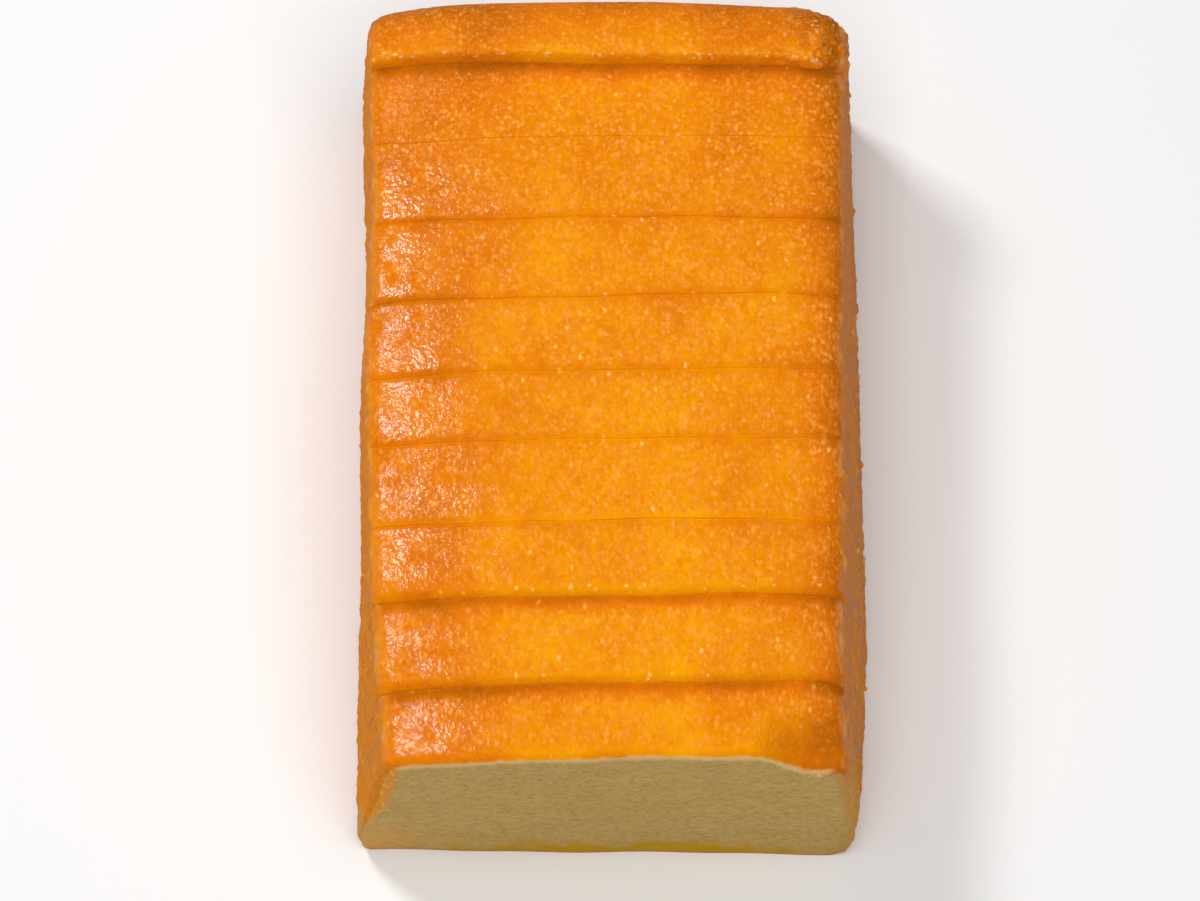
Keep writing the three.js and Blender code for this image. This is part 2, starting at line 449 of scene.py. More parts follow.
def makeMesh(name, points, faces, values, kinds, materials):
    mesh = bpy.data.meshes.new(name)
    lists = [f[:3] if f[2] == f[3] else f for f in faces.tolist()]
    mesh.from_pydata((points * mm).tolist(), [], lists)
    for label, data in values.items():
        mesh.attributes.new(label, "FLOAT", "POINT").data.foreach_set("value", data.astype(np.float32))
    for material in materials:
        mesh.materials.append(material)
    mesh.polygons.foreach_set("material_index", kinds.astype(np.int32))
    mesh.polygons.foreach_set("use_smooth", np.ones(len(lists), bool))
    mesh.update()
    return addToScene(name, mesh)


# The relief of the baked crust, and where it is grainy and wet. Pairs are where a change begins and ends.
# A noise has its size in mm, its depth where it has one, and its seed
crustLook = {
    "waves": (9.0, 0.08, 3),
    "dents": (3.0, 0.025, 5),
    "granules": {"noise": (1.2, 11), "deep": 0.05},  # the sugary grain
    "granuleLevel": 0.42,
    "fineGrain": (0.6, 0.015, 7),
    "pits": {"noise": (2.0, 13), "deep": 0.05, "span": (0.25, 0.75)},
    "stretch": (1.6, 1.05),  # the grain is drawn out along the front slices, round on the heel
    "crumbly": (2.4, 0.34, 37),  # the walls are rough
    # the heel's right corner is broken, with flakes standing up
    "broken": {"noise": (2.6, 97), "deep": 1.1, "across": (40, 50), "high": (35, 55)},
    "flakes": {"noise": (6.0, 107), "deep": 0.45, "span": (0.05, 0.2), "across": (34, 42), "high": (40, 52)},
    "footFade": (0.6, 3.0),
    # the crust is smoother beside a cut, and further so where the step between the slices is high
    "calm": {"least": 0.15, "behind": (0.8, 2.3), "before": (0.5, 2.4), "heelLeast": 0.3, "heel": (0.8, 1.8)},
    "calmReach": {"front": 1.5, "least": 0.65, "most": 1.5, "closed": 0.01},
    # the top ends raggedly at the walls
    "topEdge": {"noise": (4.0, 91), "left": 0.3, "right": 1.2, "rightIn": 0.4, "span": (-0.1, 1.8)},
    "topFoot": (3, 12),
    "flecks": {"walls": 0.5, "level": 0.8, "noise": (6.0, 0.3, 47), "far": (0.2, 30, 50)},
    "fewerOnHeel": (0.3, 66, 72),
    "fewerByTear": (0.7, 26, 36),
    "tearBack": (6, 13),
    "wet": {"level": 0.55, "drift": 0.9, "noise": (3.0, 53), "calm": (0.3, 0.8)},
    # how much drier it is far from the front and at the right, and how wet on the front slices
    "dryFar": (0.85, 42, 52),
    "dryRight": (0.75, -42, -16),
    "wetFront": (0.76, 12, 34),
}


def bumps(points, size, deep, seed, layers=0):
    return deep * (layeredNoise(points, size, seed, layers) if layers else softNoise(points, size, seed))


def inFromCorner(k, x):
    piece = slices[k]
    lean = np.where(x < piece["shift"], piece["left"], piece["right"])
    return piece["foot"] / 2 - lean - np.abs(x - piece["shift"])


def topShare(k, flat, length):
    # 1 on the baked top, 0 on the walls, the underside and the end of the heel
    back = slices[k]["back"]
    x, y, z = flat[:, 0], flat[:, 1], flat[:, 2]
    look = crustLook["topEdge"]
    ragged = layeredNoise(flat * np.array([0.3, 1, 1]) + 31 * k, *look["noise"])
    ragged = ragged * np.where(x < 0, look["left"], look["right"])
    top = rise(inFromCorner(k, x) + ragged + look["rightIn"] * (x > 0), *look["span"])
    top = top * rise(z, *crustLook["topFoot"])
    if k == heelNumber:
        top *= mix(1, rise(z, back - 9, back - 4), rise(length - y, 9.5, 8.5))
    return top


def seamReach(k):
    reach = crustLook["calmReach"]
    if k == loaf["closedSeam"]:
        return reach["closed"]
    return reach["front"] if k == 0 else min(max(seamStep(k)[0], reach["least"]), reach["most"])


def calmShare(k, y, length):
    look = crustLook["calm"]
    if k == heelNumber:
        return mix(look["heelLeast"], 1, rise(y, *look["heel"]))
    calm = mix(look["least"], 1, rise(y / seamReach(k), *look["behind"]))
    return calm * mix(look["least"], 1, rise((length - y) / seamReach(k + 1), *look["before"]))


def cornerShare(place, points, flat):
    return rise(points[:, 0], *place["across"]) * rise(flat[:, 2], *place["high"])


def crustRelief(points, flat, heel, calm, drawn, top):
    look = crustLook
    relief = bumps(points, *look["waves"]) + bumps(points, *look["dents"])
    granules, pits = look["granules"], look["pits"]
    rough = granules["deep"] * (pebbles(drawn, *granules["noise"]) - look["granuleLevel"])
    rough += bumps(points, *look["fineGrain"])
    rough -= pits["deep"] * rise(softNoise(drawn, *pits["noise"]), *pits["span"])
    crumbly = bumps(points, *look["crumbly"], 2)
    relief = relief + mix(crumbly, calm * rough, top)
    if heel:
        broken, flakes = look["broken"], look["flakes"]
        lumps = pebbles(points, *broken["noise"]) - 0.5
        relief += broken["deep"] * lumps * cornerShare(broken, points, flat)
        lifted = rise(layeredNoise(points, *flakes["noise"], 2), *flakes["span"])
        relief += flakes["deep"] * lifted * cornerShare(flakes, points, flat)
    return relief * rise(flat[:, 2], *look["footFade"])


def fleckShare(k, points, behind, calm, top):
    # how strongly the single pale grains show, partly their own colour and partly painted glints
    look = crustLook["flecks"]
    x, y = points[:, 0], points[:, 1]
    flecks = look["level"] + bumps(points, *look["noise"]) + grow(y, *look["far"])
    flecks = mix(look["walls"], calm, top) * flecks * (1 - grow(y, *crustLook["fewerOnHeel"]))
    if k == 0:
        flecks *= 1 - grow(x, *crustLook["fewerByTear"]) * fall(behind, *crustLook["tearBack"])
    return flecks


def wetShare(points, calm, top):
    look = crustLook["wet"]
    least, low, high = crustLook["wetFront"]
    wet = np.clip(look["level"] + look["drift"] * layeredNoise(points, *look["noise"]), 0, 1)
    wet = top * wet * rise(calm, *look["calm"])
    wet *= 1 - grow(points[:, 1], *crustLook["dryFar"])
    wet *= 1 - grow(points[:, 0], *crustLook["dryRight"])
    return wet * mix(least, 1, rise(points[:, 1], low, high))


# How brown the crust is drawn, 0 yellow-orange and 1 brown: its own baked colour, with painted shade and
# painted light laid into it
browningAndShade = {
    "base": 0.36,
    "patches": {"noise": (13.0, 23), "front": 0.12, "heel": 0.17, "span": (30, 80)},
    "mottle": (4.5, 0.07, 29),
    "towardsHeel": (0.10, 15, 80),  # how much, and where it begins and ends, in mm
    # painted shade: darker towards both shoulders, where less light falls on the crust
    "rightShoulder": (0.40, 37, 50),
    "leftShoulder": (0.20, 10, 40),
    "paleMiddle": (0.07, 12, 38),
    "paleSpan": (-20, 20),
    "walls": (7.0, 0.12, 31),
    "lipSpan": (0.4, 3.0),
    "paleLips": -0.04,  # on the front slices and on the heel
    # painted shade: on the other slices the lip, whose front faces away from the light, is darkened
    "shadedLips": 0.12,  # on the others
    "paleLipCount": 4,
    "paintedLightEdge": (0.12, 0.1, 0.6),  # painted light: the very edges beside the middle cuts are lightened, for light glowing through the crust into the crease
    "lightCuts": (3, 4, 5),
    # painted shade: the sunk right corner of the front slice, where less light falls, is darker
    "torn": (0.19, 36, 47),
    "tornBack": (2, 12),
    # painted shade: the crust in front of a cut is darkened where the taller slice behind shades it, the more
    # the higher the step there
    "shade": {"least": 0.06, "rate": 0.16, "most": 0.42, "sides": (0.4, 15, 45)},
    "shadeReach": {"from": 0.2, "to": 3.2, "rate": 0.9, "most": 2.5},
    "heelBack": (0.18, 5, 15),
    "heelLip": {"noise": (8.0, 0.10, 83), "less": 0.11, "span": (1.5, 7)},
}


def browningAndShadeAt(k, points, flat, length, top):
    # the crust's own baked colour, plus painted shade on the shoulders, the lips, the sunk corner and in
    # front of the cuts, and painted light at the edges beside the middle cuts
    look = browningAndShade
    x, y, behind = points[:, 0], points[:, 1], flat[:, 1]
    before = length - behind
    patches, heelLip = look["patches"], look["heelLip"]
    patchy = mix(patches["front"], patches["heel"], rise(y, *patches["span"]))
    brown = look["base"] + patchy * softNoise(points, *patches["noise"])
    brown += bumps(points, *look["mottle"], 2)
    brown += grow(y, *look["towardsHeel"])
    # painted shade towards both shoulders
    brown += top * (grow(x, *look["rightShoulder"]) + grow(-x, *look["leftShoulder"]))
    amount, low, high = look["paleMiddle"]
    brown -= amount * top * fall(np.abs(x), low, high) * fall(y, *look["paleSpan"])
    brown += (1 - top) * bumps(points, *look["walls"], 3)
    if k != loaf["closedSeam"]:
        # paler lips on the front slices and the heel, painted shade on the lips of the others
        paleLip = k < look["paleLipCount"] or k == heelNumber
        brown += look["paleLips" if paleLip else "shadedLips"] * fall(behind, *look["lipSpan"]) * top
    # painted light along the very edges beside the middle cuts
    amount, low, high = look["paintedLightEdge"]
    for number, apart in ((k, behind), (k + 1, before)):
        if number in look["lightCuts"]:
            brown -= amount * fall(apart, low, high) * top
    if k == 0:
        # painted shade on the sunk corner
        brown += grow(x, *look["torn"]) * fall(behind, *look["tornBack"]) * top
    if k == heelNumber:
        brown += grow(behind, *look["heelBack"])
        less = heelLip["less"] + bumps(points, *heelLip["noise"])
        brown -= less * fall(behind, *heelLip["span"]) * top
    elif k + 1 != loaf["closedSeam"]:
        # painted shade in front of the cut
        step = seamStep(k + 1)[0]
        shade, reach = look["shade"], look["shadeReach"]
        dark = np.clip(shade["least"] + shade["rate"] * step, 0, shade["most"])
        dark = dark * (1 - grow(np.abs(x), *shade["sides"]))
        far = reach["to"] + reach["rate"] * min(step, reach["most"])
        brown += dark * fall(before, reach["from"], far) * top
    return brown


# What has happened to the crust on the walls and at its edges, and the mauve of the walls, partly their own
# colour and partly a painted sheen of the sky
wearAndSheen = {
    # mauve towards the right: partly the walls' own colour, partly a painted sheen of the sky
    "mauve": {"left": 0.06, "more": 0.74, "across": (-45, 45), "streaks": 0.45, "high": (12, 34)},
    "streaks": {"noise": (2.8, 71), "tall": 8},
    "flaked": {"noise": (2.4, 73), "tall": 1.5, "span": (0.5, 1.0)},
    # the upper edges of the walls are rubbed pale
    "rubbedEdge": {"in": 0.1, "width": 0.35, "high": (40, 50), "noise": (3.0, 79), "span": (0.0, 0.5)},
    "rubbed": 0.3,
    # and so is the ragged edge of the crust along the front cut
    "ragged": {"noise": (2.0, 0.25, 89), "wide": 0.25, "torn": (0.45, 27, 44)},
    "raggedPale": 0.8,
    "raggedIn": (1.5, 4.0),
    # it has come off both walls beside the front cut, low down at the left and higher at the right
    "drift": (7.0, 3.5, 113),
    "fineDrift": (1.8, 1.5, 127),
    "bareLeft": {"behind": (3, 8), "high": (10, 20), "share": 1.0},
    "bareRight": {"behind": (7, 14), "high": (38, 52), "share": 0.85},
    "bareFoot": (1.0, 4.0),
    # thin flakes lift off at the heel's right corner, with pale edges
    "flakes": {"noise": (6.0, 107), "across": (34, 44), "high": (40, 52), "rim": (0.12, 0.07), "pale": 0.4},
    "flakeRim": {"noise": (1.6, 109), "span": (-0.3, 0.5)},
    "flakeBrown": (0.22, 43, 50),
    "flakeLight": (0.16, 0.1, 0.2),
    # pale specks gather on some lips: distance behind the cut, width, share
    "specks": {1: (1.6, 0.7, 0.4), 2: (1.6, 0.7, 0.4), heelNumber: (1.4, 0.6, 1.0)},
}


def frontWear(points, flat, rubbed):
    # the crust beside the front cut: rubbed pale along its edge, and off in places
    look, ragged = wearAndSheen, wearAndSheen["ragged"]
    x, behind, z = points[:, 0], flat[:, 1], flat[:, 2]
    edge = ragged["wide"] + bumps(points, *ragged["noise"], 2) + grow(x, *ragged["torn"])
    pale = look["raggedPale"] * fall(behind, 0.2 * edge, np.maximum(edge, 0.1) + 0.1)
    rubbed = np.maximum(rubbed, pale * rise(inFromCorner(0, flat[:, 0]), *look["raggedIn"]))
    drift = bumps(points, *look["drift"], 3)
    drift = drift + bumps(points, *look["fineDrift"], 2)
    bare = np.zeros(len(x))
    for side, place in ((x < 0, look["bareLeft"]), (x > 0, look["bareRight"])):
        off = side * fall(behind + drift, *place["behind"]) * fall(z + drift, *place["high"])
        bare = np.maximum(bare, place["share"] * off)
    return rubbed, bare * rise(z, *look["bareFoot"])


def crustTones(k, points, flat, length, top):
    # the colours of the crust, for its material to mix
    look = wearAndSheen
    x, behind, z = points[:, 0], flat[:, 1], flat[:, 2]
    brown = browningAndShadeAt(k, points, flat, length, top)
    streaks, flaked, rub = look["streaks"], look["flaked"], look["rubbedEdge"]
    # mauve on the walls: partly their own colour, partly a painted sheen of the sky
    mauve = look["mauve"]["left"] + look["mauve"]["more"] * rise(x, *look["mauve"]["across"])
    drawn = points / np.array([1, 1, streaks["tall"]])
    mauve = mauve + look["mauve"]["streaks"] * layeredNoise(drawn, *streaks["noise"], 2)
    drawn = points / np.array([1, flaked["tall"], flaked["tall"]])
    flakes = rise(layeredNoise(drawn, *flaked["noise"]), *flaked["span"]) * (1 - top)
    edge = ridge(inFromCorner(k, flat[:, 0]), rub["in"], rub["width"]) * rise(z, *rub["high"])
    broken = rise(layeredNoise(points, *rub["noise"], 2), *rub["span"])
    rubbed = look["rubbed"] * edge * broken
    bare = np.zeros(len(x))
    specked = np.zeros(len(x))
    if k == 0:
        rubbed, bare = frontWear(points, flat, rubbed)
        mauve = mauve * rise(z, *look["mauve"]["high"])
    if k == heelNumber:
        thin, rim = look["flakes"], look["flakeRim"]
        lifted = layeredNoise(points, *thin["noise"], 2)
        at = cornerShare(thin, points, flat)
        rims = rise(layeredNoise(points, *rim["noise"], 2), *rim["span"])
        rims = rims * ridge(lifted, *thin["rim"])
        rubbed = np.maximum(rubbed, thin["pale"] * at * rims)
        brown += at * (grow(x, *look["flakeBrown"]) - grow(lifted, *look["flakeLight"]))
    if k in look["specks"]:
        middle, width, share = look["specks"][k]
        specked = share * ridge(behind, middle, width) * top
    return {"brownedAndShaded": np.clip(brown, 0, 1), "wall": 1 - top, "mauve": np.clip(mauve, 0, 1),
            "flaked": np.clip(flakes, 0, 1), "rubbed": rubbed, "bare": bare, "specked": specked}


# The cut crumb, in mm
crumbLook = {
    "innerCrust": 4.0,  # how deep the inner cuts are soaked orange
    "innerRound": 4.0,
    "pores": {"noise": (0.8, 61), "deep": 0.15, "tall": 0.8, "span": (0.3, 0.9)},
    "lumps": (2.2, 0.09, 67),
    "edgeFade": (0.2, 1.2),
    "facesUp": (0.80, 0.97),  # how squarely an edge has to face that way
    "facesDown": (0.45, 0.85),
}


def depthInCut(piece, x, z, height):
    # distance from a point of an inner cut to the skin round it
    left, right = wallPoint(piece, -1, height, z), wallPoint(piece, 1, height, z)
    over, under = crown(piece, x, height) - z, z
    side = np.minimum(x - left, right - x)
    depth = np.minimum(side, np.minimum(over, under))
    for reach, arm in ((over, crumbLook["innerRound"]), (under, loaf["toeRound"])):
        bent = (side < arm) & (reach < arm)
        depth = np.where(bent, arm - np.hypot(arm - side, arm - reach), depth)
    return np.maximum(depth, 0)


def depthInFront(places, edge):
    # distance from each point of the front cut to its edge, and how much that edge faces up or down
    along = np.roll(edge, -1, axis=0) - np.roll(edge, 1, axis=0)
    facing = -along[:, 0] / np.linalg.norm(along, axis=1)
    depth, nearest = np.zeros(len(places)), np.zeros(len(places), int)
    atOnce = 2000
    for part in np.array_split(np.arange(len(places)), max(1, len(places) // atOnce)):
        apart = np.linalg.norm(places[part, None] - edge[None], axis=-1)
        nearest[part] = apart.argmin(1)
        depth[part] = apart.min(1)
    over = rise(facing[nearest], *crumbLook["facesUp"])
    return depth, over, rise(-facing[nearest], *crumbLook["facesDown"])


def crumbRelief(points, depth):
    pores = crumbLook["pores"]
    drawn = points * np.array([1, 1, pores["tall"]])
    pore = rise(layeredNoise(drawn, *pores["noise"], 2), *pores["span"])
    lumps = bumps(points, *crumbLook["lumps"], 3)
    return rise(depth, *crumbLook["edgeFade"]) * (lumps - pores["deep"] * pore), pore


def buildSlice(k, start, offset, materials):
    piece = slices[k]
    flat, faces, cut, length = sliceShell(k)
    points = placed(k, flat, start, length) + offset
    normals = pointNormals(points, faces)
    heel = k == heelNumber
    crusted = (cut == 0) | ((cut == 2) & heel)
    onCut, onSkin = np.zeros((2, len(points)), bool)
    onCut[faces[~crusted]] = True
    onSkin[faces[crusted]] = True
    inside = onCut & ~onSkin
    behind = flat[:, 1]

    top = topShare(k, flat, length)
    calm = calmShare(k, behind, length)
    drawn = points / np.array([1, mix(*crustLook["stretch"], k / heelNumber), 1])
    relief = crustRelief(points, flat, heel, calm, drawn, top)
    relief[inside] = 0
    values = {"flecks": fleckShare(k, points, behind, calm, top), "wet": wetShare(points, calm, top)}
    values.update(crustTones(k, points, flat, length, top))

    depth = depthInCut(piece, flat[:, 0], flat[:, 2], mix(piece["front"], piece["back"], behind / length))
    pore, over, under = np.zeros((3, len(points)))
    if k == 0:
        face = onCut & (behind < 1)
        edge = flat[onSkin & (behind == 0)][:, [0, 2]]
        depth[face], over[face], under[face] = depthInFront(flat[face][:, [0, 2]], edge)
        face = inside & (behind < 1)
        relief[face], pore[face] = crumbRelief(points[face], depth[face])
    else:
        depth = depth / crumbLook["innerCrust"]
    values.update({"depthIn": depth, "pore": pore, "over": over, "under": under})

    points = points + normals * relief[:, None]
    cake = makeMesh(f"cakeSlice{k + 1:02d}", points, faces, values, np.where(crusted, 0, 1), materials)
    grainAt = cake.data.attributes.new("grainAt", "FLOAT_VECTOR", "POINT")
    grainAt.data.foreach_set("vector", (drawn * mm).astype(np.float32).ravel())
    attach(cake, "root")
    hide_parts(f"slice_{k + 1:02d}")
    return points, normals, flat, onSkin


# Colours, as the materials mix them
colours = {
    # the crust
    "yellow": (0.94, 0.37, 0.001),
    "orange": (0.86, 0.268, 0.0005),
    "deep": (0.74, 0.175, 0.002),
    "brown": (0.42, 0.105, 0.002),
    # pale grains, partly their own colour and partly painted glints
    "fleck": (0.99, 0.405, 0.070),
    "speck": (1.0, 0.62, 0.18),
    "bare": (0.68, 0.36, 0.09),
    "bareHole": (0.50, 0.235, 0.04),
    "brownWall": (0.73, 0.235, 0.018),
    # partly the walls' own colour, partly a painted sheen of the sky
    "mauveWall": (0.56, 0.235, 0.105),
    "flaked": (0.80, 0.305, 0.028),
    "rubbed": (0.90, 0.55, 0.23),
    # the cut crumb
    "crust": (0.60, 0.235, 0.03),
    "sideEdge": (0.58, 0.27, 0.045),
    "wrapped": (0.80, 0.30, 0.02),
    "wrappedBits": (0.90, 0.44, 0.08),
    "reddish": (0.74, 0.37, 0.085),
    "soaked": (0.78, 0.235, 0.004),
    "fringe": (0.86, 0.58, 0.22),
    "crumb": (0.585, 0.385, 0.122),
    "shadow": (0.48, 0.285, 0.07),
    "hole": (0.40, 0.23, 0.05),
    "bright": (0.68, 0.47, 0.175),
    "moist": (0.58, 0.315, 0.001),
    # the loose crumbs, from pale to orange
    "looseCrumb": (0.76, 0.52, 0.20),
    "looseGolden": (0.90, 0.48, 0.12),
    "looseYellow": (0.86, 0.36, 0.03),
    "looseOrange": (0.76, 0.23, 0.01),
    # the surroundings
    "paleFloor": (0.92, 0.92, 0.92),
    "white": (1, 1, 1),
}


# Short ways to make the nodes of a material

def newMaterial(name):
    material = bpy.data.materials.new(name)
    material.use_nodes = True
    return material, material.node_tree, material.node_tree.nodes["Principled BSDF"]


def setInputs(tree, node, inputs):
    # each input takes what another node gives, the name of a colour, or a plain value
    for name, value in inputs.items():
        socket = node.inputs[name]
        if isinstance(value, bpy.types.NodeSocket):
            tree.links.new(value, socket)
        else:
            socket.default_value = (*colours[value], 1) if isinstance(value, str) else value


def addNode(tree, kind, inputs, **settings):
    node = tree.nodes.new("ShaderNode" + kind)
    for name, value in settings.items():
        setattr(node, name, value)
    setInputs(tree, node, inputs)
    return node


def valueOf(tree, name):
    return addNode(tree, "Attribute", {}, attribute_name=name).outputs["Fac"]


def placeOn(tree, scale=None):
    # the place on the object, drawn out where its scale is less than 1
    place = addNode(tree, "TexCoord", {}).outputs["Object"]
    return addNode(tree, "Mapping", {"Vector": place, "Scale": scale}).outputs["Vector"] if scale else place


def noiseNode(tree, size, detail=2.0, rough=0.5, place=None, output="Fac"):
    # a noise whose blobs are about that many millimetres across
    place = place or placeOn(tree)
    inputs = {"Scale": 1 / (size * mm), "Detail": detail, "Roughness": rough, "Vector": place}
    return addNode(tree, "TexNoise", inputs).outputs[output]


def rampNode(tree, source, stops):
    node = addNode(tree, "ValToRGB", {"Fac": source})
    ramp = node.color_ramp
    while len(ramp.elements) < len(stops):
        ramp.elements.new(0.5)
    for element, (place, name) in zip(ramp.elements, stops):
        element.position = place
        element.color = (*colours[name], 1)
    return node.outputs["Color"]


def rangeNode(tree, source, low, high, to=(0.0, 1.0)):
    inputs = {"Value": source, "From Min": low, "From Max": high, "To Min": to[0], "To Max": to[1]}
    return addNode(tree, "MapRange", inputs).outputs["Result"]


def mixNode(tree, share, a, b):
    return addNode(tree, "Mix", {0: share, 6: a, 7: b}, data_type="RGBA").outputs[2]


def sumNode(tree, a, b):
    return addNode(tree, "Math", {0: a, 1: b}, operation="ADD").outputs[0]


def timesNode(tree, a, b):
    return addNode(tree, "Math", {0: a, 1: b}, operation="MULTIPLY").outputs[0]


def bumpNode(tree, height, deep, strength=1.0):
    inputs = {"Strength": strength, "Distance": deep * mm, "Height": height}
    return addNode(tree, "Bump", inputs).outputs["Normal"]


# Sizes in mm, chances that a grain is pale, dark or a speck, and how strong each effect is
crustSurface = {
    "grainSize": 0.9,
    "grainWarp": 0.7,
    "paleChance": (0.55, 1.0),
    "darkChance": (0.3, 1.0),
    "speckChance": (0.985, 0.998),
    "roughDryWet": (0.70, 0.34),
    "specularDryWet": (0.02, 0.10),
    "syrupDryWet": (0.0, 0.60),
    "syrupRough": 0.11,
    "bump": 0.075,
    "syrupBump": 0.18,
}


def crustMaterial():
    material, tree, shader = newMaterial("bakedCrust")
    look = crustSurface
    mottle = rangeNode(tree, noiseNode(tree, 1.8, 3, 0.6), 0.3, 0.7, (-0.07, 0.07))
    # the ramp gives the crust its colour from how brown it is drawn, painted shade and light included
    stops = [(0.12, "yellow"), (0.36, "orange"), (0.62, "deep"), (1, "brown")]
    base = rampNode(tree, sumNode(tree, valueOf(tree, "brownedAndShaded"), mottle), stops)

    # each grain of the crust has its own tone, and some are pale, partly their own colour and partly painted
    # glints
    place = addNode(tree, "Attribute", {}, attribute_name="grainAt").outputs["Vector"]
    warp = noiseNode(tree, look["grainSize"], place=place, output="Color")
    inputs = {0: warp, 1: (look["grainWarp"] * mm,) * 3, 2: place}
    bent = addNode(tree, "VectorMath", inputs, operation="MULTIPLY_ADD").outputs[0]
    grains = addNode(tree, "TexVoronoi", {"Scale": 1 / (look["grainSize"] * mm), "Vector": bent})
    dome = rangeNode(tree, grains.outputs["Distance"], 0.8, 0.1)
    chance = addNode(tree, "SeparateColor", {0: grains.outputs["Color"]}).outputs
    flecks = valueOf(tree, "flecks")
    pale = timesNode(tree, rangeNode(tree, chance[0], *look["paleChance"]), dome)
    base = mixNode(tree, timesNode(tree, pale, flecks), base, "fleck")
    threads = noiseNode(tree, 0.75, 2, 0.6, place)
    threads = rangeNode(tree, threads, 0.52, 0.66, (0.0, 0.45))
    base = mixNode(tree, timesNode(tree, threads, flecks), base, "fleck")
    dark = rangeNode(tree, chance[1], *look["darkChance"], (0.0, 0.5))
    base = mixNode(tree, timesNode(tree, dark, flecks), base, "deep")
    luck = sumNode(tree, timesNode(tree, valueOf(tree, "specked"), 0.16), chance[2])
    specks = rangeNode(tree, luck, *look["speckChance"], (0.0, 0.8))
    base = mixNode(tree, timesNode(tree, specks, dome), base, "speck")

    # the walls are browner and duller, mauve towards the right with a painted sheen of the sky, flaked off in
    # places, and rubbed pale along their upper edge
    wall = mixNode(tree, valueOf(tree, "mauve"), "brownWall", "mauveWall")
    upright = placeOn(tree, (1, 1, 0.2))
    streaks = rangeNode(tree, noiseNode(tree, 1.4, 3, 0.6, upright), 0.42, 0.62, (0.0, 0.6))
    wall = mixNode(tree, streaks, wall, base)
    wall = mixNode(tree, valueOf(tree, "flaked"), wall, "flaked")
    holes = rangeNode(tree, noiseNode(tree, 0.8, 3, 0.65), 0.42, 0.66)
    bare = mixNode(tree, holes, "bare", "bareHole")
    wall = mixNode(tree, valueOf(tree, "bare"), wall, bare)
    base = mixNode(tree, valueOf(tree, "wall"), base, wall)
    base = mixNode(tree, valueOf(tree, "rubbed"), base, "rubbed")

    # syrup glistens on the wet parts
    wet = valueOf(tree, "wet")
    drift = rangeNode(tree, noiseNode(tree, 2.5, 3, 0.6), 0.35, 0.65, (-0.08, 0.08))
    grain = rangeNode(tree, noiseNode(tree, 0.45, 2, 0.6), 0, 1, (0.0, 0.8))
    setInputs(tree, shader, {
        "Base Color": base,
        "Roughness": sumNode(tree, rangeNode(tree, wet, 0, 1, look["roughDryWet"]), drift),
        "Specular IOR Level": rangeNode(tree, wet, 0, 1, look["specularDryWet"]),
        "Coat Weight": rangeNode(tree, wet, 0, 1, look["syrupDryWet"]),
        "Coat Roughness": look["syrupRough"],
        "Normal": bumpNode(tree, sumNode(tree, dome, grain), look["bump"]),
        "Coat Normal": bumpNode(tree, noiseNode(tree, 1.0, 1.0), look["syrupBump"]),
    })
    return material


def crumbTexture(tree, place):
    # the crumb away from its edges: faint clouds, fine holes and fine pale bits
    clouds = rangeNode(tree, noiseNode(tree, 7.0, 4, 0.6, place), 0.35, 0.70, (0.0, 0.4))
    crumb = mixNode(tree, clouds, "crumb", "shadow")
    fineNoise = noiseNode(tree, 0.7, 2, 0.6, place)
    crumb = mixNode(tree, rangeNode(tree, fineNoise, 0.54, 0.72, (0.0, 0.65)), crumb, "hole")
    crumb = mixNode(tree, rangeNode(tree, fineNoise, 0.47, 0.32, (0.0, 0.65)), crumb, "bright")
    return mixNode(tree, rangeNode(tree, valueOf(tree, "pore"), 0, 1, (0.0, 0.35)), crumb, "hole")


def frontCutSkin(tree, crumb, depth, drawnUp):
    # the crumb of the front cut with the crust along its edges
    place = addNode(tree, "SeparateXYZ", {0: placeOn(tree)})

    def across(low, high):
        return rangeNode(tree, place.outputs["X"], low * mm, high * mm)

    def upward(low, high, to=(0.0, 1.0)):
        return rangeNode(tree, place.outputs["Z"], low * mm, high * mm, to)

    # syrup has risen into the foot of the crumb, except near its corners, where it is reddish
    wavy = rangeNode(tree, noiseNode(tree, 9.0, 3, 0.6), 0.3, 0.7, (-0.5, 0.5))
    low = rangeNode(tree, sumNode(tree, upward(12, 2), wavy), 0.4, 0.95)
    moist = timesNode(tree, low, timesNode(tree, across(-40, -30), across(44, 34)))
    corner = timesNode(tree, across(-32, -52), upward(22, 2))
    crumb = mixNode(tree, timesNode(tree, corner, 0.8), crumb, "reddish")
    crumb = mixNode(tree, moist, crumb, "moist")

    # at the right the crust comes in softly, at the left it is folded over the crumb with a ragged edge
    soft = mixNode(tree, rangeNode(tree, depth, 0.2, 2.6, (0.15, 1.0)), "sideEdge", crumb)
    bits = rangeNode(tree, noiseNode(tree, 1.0, 2, 0.6, drawnUp), 0.5, 0.62)
    folded = mixNode(tree, bits, "wrapped", "wrappedBits")
    tatters = timesNode(tree, noiseNode(tree, 4.0, 3, 0.5, drawnUp), 4.5)
    reach = sumNode(tree, depth, sumNode(tree, tatters, -2.4))
    reach = sumNode(tree, reach, upward(30, 16, (-0.6, 3.0)))
    folded = mixNode(tree, rangeNode(tree, reach, 0.6, 2.4), folded, crumb)
    sides = mixNode(tree, across(-1, 1), folded, soft)

    # under the top it begins with a pale line, and over the foot with a thin brown one
    pale = mixNode(tree, rangeNode(tree, depth, 0.4, 2.4, (0.15, 1.0)), "fringe", crumb)
    foot = mixNode(tree, rangeNode(tree, depth, 0.0, 1.2), "crust", crumb)
    skin = mixNode(tree, valueOf(tree, "under"), sides, foot)
    return mixNode(tree, valueOf(tree, "over"), skin, pale)


